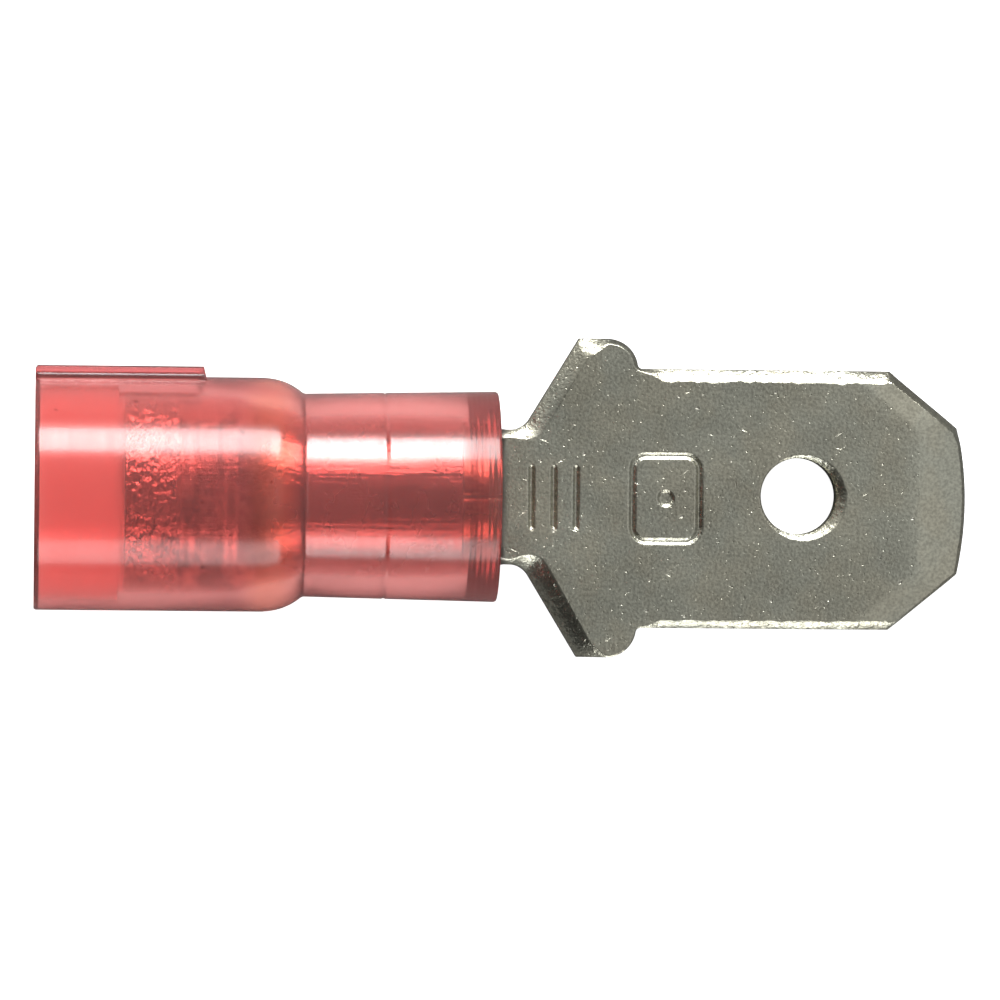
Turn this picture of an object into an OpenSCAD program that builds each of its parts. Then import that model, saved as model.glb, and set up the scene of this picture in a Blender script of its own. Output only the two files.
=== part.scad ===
// Insulated male spade terminal for thin stranded wire, all lengths in millimetres.
// It is three pieces. A terminal is stamped from tinned sheet and rolled into a barrel
// at its wire end. A thin drawn sleeve slides over that barrel and opens out to hold the
// wire's insulation. A clear red nylon housing covers both.
// X runs from the wire entry to the tip of the tab, Y is the width of the tab, and Z
// points up from the face of the tab that the punch rounded over. The origin is the
// centre of the wire entry, on the axis of the barrel.

/* [Sheet] */
// Thickness of the tinned sheet
sheet_t = 0.8; // [0.6:0.05:1]
// Radius that the punch leaves on the upper edges of the sheet
edge_roll = 0.22; // [0.05:0.01:0.3]

/* [Tab] */
// Width of the tab
tab_w = 6.35; // [5:0.05:8]
// Length of the tab from the end of its shoulders to its tip
tab_len = 8.1; // [7:0.01:10]
// Width left at the tip between the cut corners
tip_w = 3.59; // [2:0.01:4.5]
// Length of the cut corners, back from the tip
tip_cut_len = 1.89; // [1:0.01:2.4]
// Radius of the tip's shallow curve, seen from above
tip_r = 8; // [4:0.1:20]
// Length of the lead-in bevel on both faces of the tip
bevel_len = 1.17; // [0.4:0.01:1.8]
// Width of the same bevel along the cut corners
corner_bevel = 0.65; // [0.2:0.01:0.9]
// Thickness left at the very tip
tip_t = 0.4; // [0.3:0.05:0.5]

/* [Detent hole] */
// Diameter of the detent hole
hole_d = 1.87; // [1:0.01:2.5]
// Distance from the tip to the centre of the hole
hole_from_tip = 4.13; // [3.5:0.01:5]
// How far the hole was punched off the centre line
hole_side = 0.09; // [-0.3:0.01:0.3]
// Radius that the punch leaves round the hole
hole_roll = 0.12; // [0.03:0.01:0.2]

/* [Shoulders] */
// How far each shoulder stands out past the tab
shoulder_step = 0.732; // [0.4:0.001:1.5]
// Length of the shoulders along the tab
shoulder_len = 1.44; // [1.1:0.01:3]
// Radius of the shoulders' front corners
shoulder_round = 0.75; // [0.2:0.01:0.9]
// Radius in the inner corner between shoulder and tab
shoulder_fillet = 0.12; // [0.05:0.01:0.2]
// Slope of the flare from the neck out to the shoulders, in degrees
flare_angle = 58.8; // [45:0.1:75]

/* [Neck] */
// Width of the neck behind the housing
neck_w = 3.31; // [2.4:0.05:4]
// Straight flat length of the neck
neck_len = 0.07; // [0.05:0.01:2]
// Radius where the neck turns into the flare
neck_fillet = 0.55; // [0.2:0.01:1]
// Length over which the flat neck curls up into the barrel
curl_len = 0.7; // [0.5:0.01:1.5]

/* [Barrel] */
// Outer diameter of the rolled barrel
barrel_d = 3.3; // [3:0.05:4.2]
// Length of the barrel
barrel_len = 4.5; // [3.5:0.01:6]
// Open width of the butt seam along the top of the barrel
seam_gap = 0.06; // [0.03:0.01:0.2]
// Width of the countersink at the mouth of the barrel
barrel_lead = 0.15; // [0.05:0.01:0.25]

/* [Grip sleeve] */
// Inner diameter of the sleeve where it holds the wire's insulation
grip_bore = 4.26; // [4:0.05:5]
// Wall of the drawn sleeve
sleeve_wall = 0.25; // [0.15:0.01:0.3]
// Distance from the wire entry to the rear edge of the sleeve
sleeve_depth = 2.17; // [1:0.01:4]
// Length of the wide part of the sleeve
grip_len = 2.7; // [2:0.01:5]
// Length over which the sleeve draws in to the barrel
cone_len = 1.4; // [1:0.01:2.5]
// Distance from the end of the cone to the mouth of the barrel
barrel_back = 0.1; // [0:0.01:0.5]
// How far the sleeve stops short of the front end of the barrel
sleeve_short = 0.55; // [0.1:0.01:1.5]
// Radial gap between the sleeve and the barrel
barrel_gap = 0.03; // [0.02:0.005:0.06]

/* [Housing] */
// Radial gap between the housing and the sleeve
sleeve_gap = 0.03; // [0.02:0.005:0.06]
// Wall of the wide part of the housing
wide_wall = 0.44; // [0.3:0.01:0.8]
// Wall of the narrow part of the housing, next to the round shoulder
narrow_wall = 0.5; // [0.35:0.01:0.8]
// Wall left at the front rim, round the mouth that lets the neck out
rim_wall = 0.205; // [0.15:0.001:0.4]
// Length over which the bore opens out to that mouth
mouth_len = 0.75; // [0.65:0.01:1.2]
// Gap between the mouth and the lower corners of the neck
neck_gap = 0.03; // [0.02:0.005:0.1]
// How far the housing's round shoulder starts past the sleeve's cone
shoulder_lag = 0.68; // [0.3:0.01:1]
// Radius of the housing's round shoulder
case_round = 1.45; // [0.8:0.01:2]
// How far the housing reaches past the front end of the barrel
front_cover = 0.37; // [0.1:0.01:0.6]
// How much wider in radius the bore is at the wire entry than at the sleeve's seat
entry_step = 0.17; // [0.16:0.01:0.25]
// How far the seat of the sleeve starts behind the sleeve's rear edge
entry_seat = 0.15; // [0.05:0.01:0.4]
// Width of the countersink in the mouth of the housing
entry_lead = 0.12; // [0.05:0.01:0.2]

/* [Key rib] */
// Length of the rib along the side of the housing
rib_len = 4.18; // [2:0.01:5]
// Width of the rib round the housing
rib_w = 1.45; // [0.6:0.01:2]
// How far the rib stands out
rib_h = 0.245; // [0.1:0.005:0.5]
// How far the front end of the rib slants back
rib_slant = 0.07; // [0:0.01:0.3]

/* [Hidden] */
$fn = 96;

// Overshoot of every cutting tool, so that none ends flush with what it cuts
over = 0.5;
// How far the round at the hole's mouth is moved out, as a share of its radius
roll_crease = 0.04;
// Depth to which the curl is sunk into the barrel wall, and how much thinner it is there
weld = 0.1;
weld_thin = 0.05;
// Steps along the arcs of the sheet's outline
neck_steps = 8;
shoulder_steps = 12;
inner_steps = 6;
tip_steps = 8;
// Steps round the rolled edges, across the neck and along the curl
roll_steps = 4;
width_steps = 12;
curl_steps = 10;
// Turn in degrees below which a section of the curl counts as flat
least_turn = 0.5;

// Radii from the axis outwards, each from the one before
barrel_r = barrel_d / 2;
wire_r = barrel_r - sheet_t;
sleeve_in_r = barrel_r + barrel_gap;
sleeve_out_r = sleeve_in_r + sleeve_wall;
grip_in_r = grip_bore / 2;
grip_out_r = grip_in_r + sleeve_wall;
case_narrow_bore_r = sleeve_out_r + sleeve_gap;
case_wide_bore_r = grip_out_r + sleeve_gap;
case_entry_r = case_wide_bore_r + entry_step;
case_narrow_r = case_narrow_bore_r + narrow_wall;
case_mouth_r = norm([neck_w / 2, barrel_r]) + neck_gap;
case_front_r = case_mouth_r + rim_wall;
case_wide_r = case_wide_bore_r + wide_wall;

// Half widths and heights of the flat part of the sheet
half_neck = neck_w / 2;
half_tab = tab_w / 2;
half_shoulder = half_tab + shoulder_step;
tab_bottom = -barrel_r;
tab_top = tab_bottom + sheet_t;

// Stations along X from the wire entry to the tip
cone_start = sleeve_depth + grip_len;
cone_end = cone_start + cone_len;
barrel_start = cone_end + barrel_back;
barrel_end = barrel_start + barrel_len;
sleeve_end = barrel_end - sleeve_short;
case_end = barrel_end + front_cover;
case_shoulder = cone_start + shoulder_lag;
curl_end = barrel_end + curl_len;
fillet_start = curl_end + neck_len;
flare_start = fillet_start + neck_fillet * tan(flare_angle / 2);
shoulder_start = flare_start + (half_shoulder - half_neck) / tan(flare_angle);
shoulder_end = shoulder_start + shoulder_len;
tip_x = shoulder_end + tab_len;

// Centres of the arcs on the outline of the sheet, on its +Y side
neck_c = [fillet_start, half_neck + neck_fillet];
round_c = [shoulder_end - shoulder_round, half_shoulder - shoulder_round];
fillet_rise = max(0, half_tab + shoulder_fillet - round_c.y);
fillet_reach = sqrt(pow(shoulder_round + shoulder_fillet, 2) - pow(fillet_rise, 2));
inner_c = [round_c.x + fillet_reach, half_tab + shoulder_fillet];
inner_angle = asin(fillet_rise / (shoulder_round + shoulder_fillet));
tip_angle = asin(tip_w / 2 / tip_r);
tip_c = [tip_x - tip_r, 0];

// Corners of the outline, and the two ends that meet between shoulder and tab
neck_back = [curl_end, half_neck];
flare_top = [shoulder_start, half_shoulder];
round_foot = round_c + shoulder_round * [cos(inner_angle), sin(inner_angle)];
inner_top = inner_c - shoulder_fillet * [cos(inner_angle), sin(inner_angle)];
cut_back = [tip_x - tip_cut_len, half_tab];
cut_front = tip_c + tip_r * [cos(tip_angle), sin(tip_angle)];
cut_run = cut_front - cut_back;

// Points of an arc about c from angle a0 to angle a1, which may leave out the first
function arc(c, r, a0, a1, steps, first = 0) =
    [for (i = [first:steps]) let (a = a0 + (a1 - a0) * i / steps) c + r * [cos(a), sin(a)]];

// Outline of the flat sheet on its +Y side, from the neck to the middle of the tip
side_run = concat(
    [neck_back],
    arc(neck_c, neck_fillet, -90, flare_angle - 90, neck_steps),
    [flare_top],
    arc(round_c, shoulder_round, 90, inner_angle, shoulder_steps),
    arc(inner_c, shoulder_fillet, inner_angle + 180, 270, inner_steps,
        round_foot.y > inner_top.y ? 0 : 1),
    [cut_back],
    arc(tip_c, tip_r, tip_angle, 0, tip_steps));

// Unit vector into the sheet from an edge of that outline
function inward(p, q) = let (v = (q - p) / norm(q - p)) [v.y, -v.x];

// The +Y side moved in by d at every edge. The neck goes on straight behind its first
// point, and the far side of the tip mirrors its near side.
function moved_in(d) =
    [for (i = [0:len(side_run) - 1])
        let (
            p = side_run[i],
            before = i == 0 ? p - [1, 0] : side_run[i - 1],
            after = i < len(side_run) - 1 ? side_run[i + 1] : [before.x, -before.y],
            n0 = inward(before, p),
            n1 = inward(p, after))
        p + d * (n0 + n1) / (1 + n0 * n1)];

// A run on the +Y side, closed by its mirror image in reverse order
function both_sides(run) =
    concat(run, [for (i = [len(run) - 2:-1:0]) [run[i].x, -run[i].y]]);

// A body of revolution about X, drawn as a profile of [x, radius]
module turned() {
    rotate([90, 0, 90])
        rotate_extrude()
            rotate(90)
                mirror([0, 1])
                    children();
}

// A cylinder or cone along X from x0 to x1
module rod(x0, x1, r0, r1) {
    translate([x0, 0, 0])
        rotate([0, 90, 0])
            cylinder(h = x1 - x0, r1 = r0, r2 = r1);
}

// The flat sheet before it is bevelled and punched, built up in levels. The upper ones
// follow the round that the punch leaves, each a little further in than the one below.
module sheet_blank() {
    levels = concat(
        [[0, tab_bottom]],
        [for (i = [0:roll_steps]) let (a = 90 * i / roll_steps)
            [edge_roll * (1 - cos(a)), tab_top - edge_roll * (1 - sin(a))]]);
    loops = [for (level = levels) [for (p = both_sides(moved_in(level[0]))) [p.x, p.y, level[1]]]];
    per_loop = len(loops[0]);
    tip = len(side_run) - 1;
    top = (len(levels) - 1) * per_loop;
    polyhedron(
        points = [for (loop = loops) each loop],
        faces = concat(
            [for (i = [0:tip - 1])
                let (j = per_loop - 1 - i)
                each concat(
                    [[top + i, top + i + 1, top + j], [i, j, i + 1]],
                    i + 1 == tip ? [] : [[top + i + 1, top + j - 1, top + j], [i + 1, j, j - 1]])],
            [for (base = [0:per_loop:top - per_loop], i = [0:per_loop - 1])
                let (a = base + i, b = base + (i + 1) % per_loop)
                each [[a, b, b + per_loop], [a, b + per_loop, a + per_loop]]]));
}

// One lead-in bevel, as the wedge that it takes off the upper face over a reach back
// from the Y axis
module bevel_waste(reach, width) {
    slope = (sheet_t - tip_t) / 2 / bevel_len;
    rotate([90, 0, 0])
        linear_extrude(width, center = true)
            polygon([
                [-reach, sheet_t / 2],
                [over, sheet_t / 2 - slope * (reach + over)],
                [over, sheet_t / 2 + over],
                [-reach, sheet_t / 2 + over]]);
}

// The three bevels of one face: along the tip and along each cut corner
module bevels() {
    translate([tip_x, 0, 0])
        bevel_waste(bevel_len, tab_w + 2 * over);
    for (side = [0, 1])
        mirror([0, side, 0])
            translate(cut_back + cut_run / 2)
                rotate(atan2(cut_run.x, -cut_run.y))
                    bevel_waste(corner_bevel, norm(cut_run) + 2 * over);
}

// The detent hole and the round that the punch leaves at its mouth. That round is moved
// out a little, so that it crosses both faces at a slight crease.
module hole_waste() {
    hole_r = hole_d / 2;
    in = hole_roll * (1 - roll_crease);
    translate([tip_x - hole_from_tip, hole_side, tab_bottom - over])
        cylinder(h = sheet_t + 2 * over, r = hole_r);
    translate([tip_x - hole_from_tip, hole_side, tab_top])
        rotate_extrude()
            difference() {
                translate([0, -in])
                    square([hole_r + in, in + over]);
                translate([hole_r + in, -in])
                    circle(hole_roll);
            }
}

// The flat part of the sheet: neck, flare, shoulders and tab
module flat_sheet() {
    difference() {
        sheet_blank();
        for (flip = [0, 1])
            translate([0, 0, tab_bottom + sheet_t / 2])
                mirror([0, 0, flip])
                    bevels();
        hole_waste();
    }
}

// Section of the flat neck with its two rounded upper corners, t thick, as points
// [distance from the centre line, height above the middle of the sheet]. The lower row
// runs left to right and the upper row back again, in the same columns.
function neck_section(t) =
    let (
        w = half_neck,
        r = min(edge_roll, t / 2),
        corner = arc([w - r, t / 2 - r], r, 90, 0, roll_steps),
        middle = [for (i = [1:width_steps - 1]) [(w - r) * (2 * i / width_steps - 1), t / 2]],
        upper = concat([for (i = [roll_steps:-1:0]) [-corner[i].x, corner[i].y]], middle, corner),
        columns = len(upper))
    concat(
        [for (p = upper) [p.x, -t / 2]],
        [for (i = [columns - 1:-1:0]) upper[i]]);

// Wraps a section point round a cylinder, so that half the neck spans the angle turn.
// The width measured along the middle of the sheet stays the same at every turn.
function wrapped(p, turn) =
    turn < least_turn
    ? [p.x, p.y + tab_bottom + sheet_t / 2]
    : let (bend_r = half_neck / (turn * PI / 180), a = turn * p.x / half_neck)
        [(bend_r - p.y) * sin(a), tab_bottom + sheet_t / 2 + bend_r - (bend_r - p.y) * cos(a)];

// The curl between neck and barrel, lofted through sections that turn up step by step
module curl() {
    full_turn = half_neck / (barrel_r - sheet_t / 2) * 180 / PI;
    stages = concat([[-weld, 0]], [for (i = [0:curl_steps]) [curl_len * i / curl_steps, i / curl_steps]]);
    rings = [for (stage = stages)
        let (turn = full_turn * pow(1 - stage[1], 2), t = sheet_t - weld_thin * (1 - stage[1]))
        [for (p = neck_section(t))
            let (q = wrapped(p, turn)) [barrel_end + stage[0], q.x, q.y]]];
    per_ring = len(rings[0]);
    last = (len(rings) - 1) * per_ring;
    polyhedron(
        points = [for (ring = rings) each ring],
        faces = concat(
            [for (j = [0:per_ring / 2 - 2])
                let (k = per_ring - 1 - j)
                each [[j, j + 1, k - 1], [j, k - 1, k],
                    [last + k, last + k - 1, last + j + 1], [last + k, last + j + 1, last + j]]],
            [for (i = [0:per_ring:last - per_ring], j = [0:per_ring - 1])
                let (a = i + j, b = i + (j + 1) % per_ring)
                each [[a, a + per_ring, b + per_ring], [a, b + per_ring, b]]]));
}

// The rolled barrel, with its butt seam on top and a countersunk mouth
module barrel() {
    difference() {
        rod(barrel_start, barrel_end, barrel_r, barrel_r);
        rod(barrel_start - over, barrel_end + over, wire_r, wire_r);
        rod(barrel_start - over, barrel_start + barrel_lead,
            wire_r + barrel_lead + over, wire_r);
        translate([barrel_start - over, -seam_gap / 2, 0])
            cube([barrel_len + 2 * over, seam_gap, barrel_r + over]);
    }
}

// The stamped terminal: barrel, curl and flat sheet in one piece
module terminal() {
    color([0.63, 0.62, 0.57])
        union() {
            barrel();
            curl();
            flat_sheet();
        }
}

// The drawn sleeve: a wide grip, a cone and a narrow part that slides over the barrel.
// The inner corners of the cone lie back along X, so that the wall stays even.
module grip_sleeve() {
    slope = atan((grip_out_r - sleeve_out_r) / cone_len);
    back = sleeve_wall * tan(slope / 2);
    color([0.78, 0.76, 0.7])
        difference() {
            union() {
                rod(sleeve_depth, cone_start, grip_out_r, grip_out_r);
                rod(cone_start, cone_end, grip_out_r, sleeve_out_r);
                rod(cone_end, sleeve_end, sleeve_out_r, sleeve_out_r);
            }
            rod(sleeve_depth - over, cone_start - back, grip_in_r, grip_in_r);
            rod(cone_start - back, cone_end - back, grip_in_r, sleeve_in_r);
            rod(cone_end - back, sleeve_end + over, sleeve_in_r, sleeve_in_r);
        }
}

// Outer profile of the housing, with its round shoulder, as [x, radius]
module case_profile() {
    square([case_shoulder, case_wide_r]);
    intersection() {
        translate([case_shoulder, case_wide_r - case_round])
            circle(case_round);
        square([case_end, case_wide_r]);
    }
    polygon([
        [0, 0],
        [case_end, 0],
        [case_end, case_front_r],
        [case_shoulder, case_narrow_r],
        [0, case_narrow_r]]);
}

// The rib along the +Y side of the housing, which keys it in a crimping tool
module key_rib() {
    foot = case_wide_r * cos(asin(rib_w / 2 / case_wide_r)) - rib_h / 2;
    translate([0, 0, -rib_w / 2])
        linear_extrude(rib_w)
            polygon([
                [0, foot],
                [rib_len, foot],
                [rib_len - rib_slant, case_wide_r + rib_h],
                [0, case_wide_r + rib_h]]);
}

// The moulded nylon housing, bored to seat the sleeve from the wire end
module housing() {
    color([0.87, 0.35, 0.32, 0.75])
        difference() {
            union() {
                turned()
                    case_profile();
                key_rib();
            }
            rod(-over, cone_start, case_wide_bore_r, case_wide_bore_r);
            rod(cone_start, cone_end, case_wide_bore_r, case_narrow_bore_r);
            rod(cone_end, case_end - mouth_len, case_narrow_bore_r, case_narrow_bore_r);
            rod(case_end - mouth_len, case_end, case_narrow_bore_r, case_mouth_r);
            rod(case_end, case_end + over, case_mouth_r, case_mouth_r);
            rod(-over, sleeve_depth - entry_seat, case_entry_r, case_entry_r);
            rod(-over, entry_lead, case_entry_r + entry_lead + over, case_entry_r);
        }
}

terminal();
grip_sleeve();
housing();
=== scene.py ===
# Male spade terminal: the looks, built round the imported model.
# Sizes are in millimetres and become metres where a mesh is made. X runs from the wire
# entry to the tip of the tab, Y across the tab, and Z towards its rounded upper face.
import math

import bpy
import bmesh
import numpy as np
from mathutils import Matrix, Vector, noise
from mathutils.geometry import delaunay_2d_cdt


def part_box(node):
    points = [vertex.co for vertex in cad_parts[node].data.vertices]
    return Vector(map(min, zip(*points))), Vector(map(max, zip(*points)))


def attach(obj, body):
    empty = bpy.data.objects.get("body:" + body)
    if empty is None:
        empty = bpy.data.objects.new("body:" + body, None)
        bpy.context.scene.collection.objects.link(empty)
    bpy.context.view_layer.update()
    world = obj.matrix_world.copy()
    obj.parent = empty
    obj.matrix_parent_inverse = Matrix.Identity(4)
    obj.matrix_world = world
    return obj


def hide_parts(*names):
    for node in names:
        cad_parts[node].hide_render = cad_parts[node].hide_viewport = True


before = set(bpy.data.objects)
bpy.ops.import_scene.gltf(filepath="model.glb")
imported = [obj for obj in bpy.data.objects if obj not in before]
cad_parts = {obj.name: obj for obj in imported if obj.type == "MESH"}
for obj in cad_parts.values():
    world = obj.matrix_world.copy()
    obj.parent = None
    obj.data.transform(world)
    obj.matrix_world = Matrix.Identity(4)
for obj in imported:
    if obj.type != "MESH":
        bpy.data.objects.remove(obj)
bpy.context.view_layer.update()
mm = 0.001
scene = bpy.context.scene
scene.view_settings.view_transform = "Standard"


# Camera
# It hangs straight above the table, some 19 cm up, with a long lens. The terminal lies
# with its tab lower than its housing, so the camera leans a little towards the housing.
camera_lean = math.radians(3.4)
camera_turn = math.radians(0.55)
camera_aim = Vector((11.33, -0.075, 0)) * mm
camera_reach = 192 * mm

away = Vector((-math.sin(camera_lean), 0, math.cos(camera_lean)))
along = Vector((math.cos(camera_lean), 0, math.sin(camera_lean)))
across = Vector((0, 1, 0))
right = math.cos(camera_turn) * along + math.sin(camera_turn) * across
up = math.cos(camera_turn) * across - math.sin(camera_turn) * along
camera = bpy.data.objects.new("camera", bpy.data.cameras.new("camera"))
camera.data.sensor_width = 36
camera.data.lens = 283.6
camera.data.clip_start = 0.01
camera.matrix_world = (Matrix.Translation(camera_aim + away * camera_reach)
                       @ Matrix((right, up, away)).transposed().to_4x4())
scene.collection.objects.link(camera)
scene.camera = camera


# Floor
# A sheet of white card. The terminal rests on it on the bottom of its housing and on the
# tip of its tab, so in the terminal's own frame the card climbs a little towards the tip.
# Metal mirrors it darker than it is seen, so that bright edges stand out against it.
floor_half = 90
housing_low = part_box("housing")[0].z / mm
tip_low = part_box("terminal")[0].z / mm
tip_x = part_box("terminal")[1].x / mm
touch_x = 5.6
floor_gap = 0.01
nylon_mirrors = 0.33
tab_mirrors = 0.22
floor_slope = (tip_low - housing_low) / (tip_x - touch_x)


def put(tree, kind, inputs=None, **settings):
    """Adds a shader node. An input is filled by a value or by another node's socket."""
    node = tree.nodes.new("ShaderNode" + kind)
    for key, value in settings.items():
        setattr(node, key, value)
    for key, value in (inputs or {}).items():
        if isinstance(value, bpy.types.NodeSocket):
            tree.links.new(value, node.inputs[key])
        else:
            node.inputs[key].default_value = value
    return node


def new_material(name):
    material = bpy.data.materials.new(name)
    material.use_nodes = True
    material.node_tree.nodes.clear()
    return material


def finish_material(material, shader):
    put(material.node_tree, "OutputMaterial", {"Surface": shader})


def new_piece(name, points, faces):
    """Makes a mesh from points in millimetres, smooth shaded, with its faces outward."""
    mesh = bpy.data.meshes.new(name)
    mesh.from_pydata([Vector(p) * mm for p in points], [], faces)
    shaper = bmesh.new()
    shaper.from_mesh(mesh)
    bmesh.ops.recalc_face_normals(shaper, faces=shaper.faces)
    shaper.to_mesh(mesh)
    shaper.free()
    mesh.shade_smooth()
    piece = bpy.data.objects.new(name, mesh)
    scene.collection.objects.link(piece)
    return piece


def floor_z(x):
    return housing_low + floor_slope * (x - touch_x) - floor_gap


floor_ends = (camera_aim.x / mm - floor_half, camera_aim.x / mm + floor_half)
floor = new_piece("floor", [(x, y, floor_z(x)) for x, y in (
    (floor_ends[0], -floor_half), (floor_ends[1], -floor_half),
    (floor_ends[1], floor_half), (floor_ends[0], floor_half))], [(0, 1, 2, 3)])
card = new_material("white card")
tree = card.node_tree
ray = put(tree, "LightPath")
seen = put(tree, "Math", {0: ray.outputs["Is Camera Ray"],
                          1: ray.outputs["Is Transmission Ray"]}, operation="MAXIMUM")
place = put(tree, "TexCoord")
place = put(tree, "SeparateXYZ", {0: place.outputs["Object"]})
mirrored = put(tree, "MapRange", {0: place.outputs[0], 1: 11 * mm, 2: 14 * mm,
                                  3: nylon_mirrors, 4: tab_mirrors})
dimmed = put(tree, "MapRange", {0: ray.outputs["Is Glossy Ray"], 3: 1.0,
                                4: mirrored.outputs[0]})
grain = put(tree, "TexNoise", {"Scale": 900.0, "Detail": 3.0})
shade = put(tree, "MapRange", {0: grain.outputs[0], 3: 0.8, 4: 0.84})
shade = put(tree, "Math", {0: shade.outputs[0], 1: dimmed.outputs[0]}, operation="MULTIPLY")
paper = put(tree, "BsdfDiffuse", {"Color": (0.82, 0.82, 0.82, 1)})
tree.links.new(shade.outputs[0], paper.inputs["Color"])
glow = put(tree, "Emission", {"Color": (1, 1, 1, 1), "Strength": 0.95})
dark = put(tree, "Emission", {"Color": (0, 0, 0, 1), "Strength": 0.0})
lift = put(tree, "MixShader", {0: seen.outputs[0], 1: dark.outputs[0], 2: glow.outputs[0]})
both = put(tree, "AddShader", {0: paper.outputs[0], 1: lift.outputs[0]})
finish_material(card, both.outputs[0])
floor.data.materials.append(card)


# Light
# Two long soft boxes hang over the table on either side of the camera, which itself shows
# as a grey patch overhead. Their long sides run with the terminal, and the room is dark.
box_length = 115
box_reach = 170
box_shift = 17


def soft_box(name, angle, width, energy):
    """A lamp above the terminal, angle degrees from straight up towards +Y."""
    lamp = bpy.data.lights.new(name, "AREA")
    lamp.shape = "RECTANGLE"
    lamp.size = box_length * mm
    lamp.size_y = width * mm
    lamp.energy = energy
    box = bpy.data.objects.new(name, lamp)
    turn = math.radians(angle)
    foot = Vector((tip_x / 2 + box_shift, 0, 0)) * mm
    box.matrix_world = (Matrix.Translation(foot) @ Matrix.Rotation(-turn, 4, "X")
                        @ Matrix.Translation((0, 0, box_reach * mm)))
    scene.collection.objects.link(box)


soft_box("far soft box", 54, 74, 0.385)
soft_box("near soft box", -60, 76, 0.107)

world = bpy.data.worlds.new("room")
scene.world = world
world.use_nodes = True
tree = world.node_tree
tree.nodes.clear()
way = put(tree, "TexCoord")
height = put(tree, "SeparateXYZ", {0: way.outputs["Generated"]})
fade = put(tree, "MapRange", {0: height.outputs[2], 1: 0.74, 2: 0.93, 3: 0.25, 4: 1.0},
           interpolation_type="SMOOTHSTEP")
side_light = put(tree, "MapRange", {0: height.outputs[0], 1: -0.17, 2: 0.42,
                                    3: 0.03, 4: 0.61},
                 interpolation_type="SMOOTHSTEP")
overhead = put(tree, "Math", {0: fade.outputs[0], 1: side_light.outputs[0]},
               operation="MULTIPLY")
table = put(tree, "MapRange", {0: height.outputs[2], 1: 0.02, 2: 0.16, 3: 0.3, 4: 0.0},
            interpolation_type="SMOOTHSTEP")
level = put(tree, "Math", {0: overhead.outputs[0], 1: table.outputs[0]}, operation="ADD")
window = put(tree, "MapRange", {0: height.outputs[1], 1: 0.1, 2: 0.36, 3: 0.0, 4: 0.34},
             interpolation_type="SMOOTHSTEP")
behind = put(tree, "MapRange", {0: height.outputs[0], 1: -0.4, 2: -0.15, 3: 1.0, 4: 0.0},
             interpolation_type="SMOOTHSTEP")
level = put(tree, "Math", {0: window.outputs[0], 1: behind.outputs[0], 2: level.outputs[0]},
            operation="MULTIPLY_ADD")
room = put(tree, "Background", {0: (1, 1, 1, 1), 1: level.outputs[0]})
put(tree, "OutputWorld", {0: room.outputs[0]})


# Marks that several finishes share
# Small nicks and pits from tumbling in bulk, and the waves of rolled or moulded skin. Both
# are worked out in millimetres from the piece's own coordinates.
def new_group(name, inputs, outputs):
    """A node group with float inputs and outputs, and its two ends."""
    group = bpy.data.node_groups.new(name, "ShaderNodeTree")
    for key, value in inputs.items():
        socket = group.interface.new_socket(key, in_out="INPUT", socket_type="NodeSocketFloat")
        socket.default_value = value
    for key in outputs:
        group.interface.new_socket(key, in_out="OUTPUT", socket_type="NodeSocketFloat")
    entry = group.nodes.new("NodeGroupInput")
    leave = group.nodes.new("NodeGroupOutput")
    return group, entry.outputs, leave.inputs


def use_group(tree, group, inputs):
    node = tree.nodes.new("ShaderNodeGroup")
    node.node_tree = group
    for key, value in inputs.items():
        node.inputs[key].default_value = value
    return node.outputs


# A nick may lie in each cell. Share is the part of the cells that hold one, Size their
# largest radius in cells, and Stretch how much longer than wide they are along Turn.
ragged_scale = 11.0
ragged_size = 0.09
smallest_nick = 0.04
nicks, given, result = new_group(
    "nicks", {"Cells per mm": 3.0, "Share": 0.3, "Size": 0.25, "Turn": 0.0, "Stretch": 1.0},
    ["Height", "Mask"])
place = put(nicks, "TexCoord")
spread = put(nicks, "VectorMath", {0: place.outputs["Object"], 1: (1 / mm,) * 3},
             operation="MULTIPLY")
warp = put(nicks, "TexNoise", {"Vector": spread.outputs[0], "Scale": ragged_scale,
                               "Detail": 3.0})
bent = put(nicks, "VectorMath", {0: warp.outputs["Color"], 1: (ragged_size,) * 3,
                                 2: spread.outputs[0]}, operation="MULTIPLY_ADD")
turned = put(nicks, "VectorRotate", {"Vector": bent.outputs[0], "Angle": given["Turn"]},
             rotation_type="Z_AXIS")
squash = put(nicks, "Math", {0: 1.0, 1: given["Stretch"]}, operation="DIVIDE")
squash = put(nicks, "CombineXYZ", {0: squash.outputs[0], 1: 1.0, 2: 1.0})
drawn_out = put(nicks, "VectorMath", {0: turned.outputs[0], 1: squash.outputs[0]},
                operation="MULTIPLY")
cells = put(nicks, "TexVoronoi", {"Vector": drawn_out.outputs[0],
                                  "Scale": given["Cells per mm"]})
chosen = put(nicks, "SeparateXYZ", {0: cells.outputs["Color"]})
picked = put(nicks, "Math", {0: chosen.outputs[0], 1: given["Share"]}, operation="LESS_THAN")
girth = put(nicks, "Math", {0: chosen.outputs[1], 1: given["Size"]}, operation="MULTIPLY")
girth = put(nicks, "Math", {0: girth.outputs[0], 1: smallest_nick}, operation="ADD")
pit = put(nicks, "MapRange", {0: cells.outputs["Distance"], 2: girth.outputs[0],
                              3: 1.0, 4: 0.0}, interpolation_type="SMOOTHSTEP")
mask = put(nicks, "Math", {0: pit.outputs[0], 1: picked.outputs[0]}, operation="MULTIPLY")
down = put(nicks, "Math", {0: mask.outputs[0], 1: -1.0}, operation="MULTIPLY")
nicks.links.new(down.outputs[0], result["Height"])
nicks.links.new(mask.outputs[0], result["Mask"])

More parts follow.
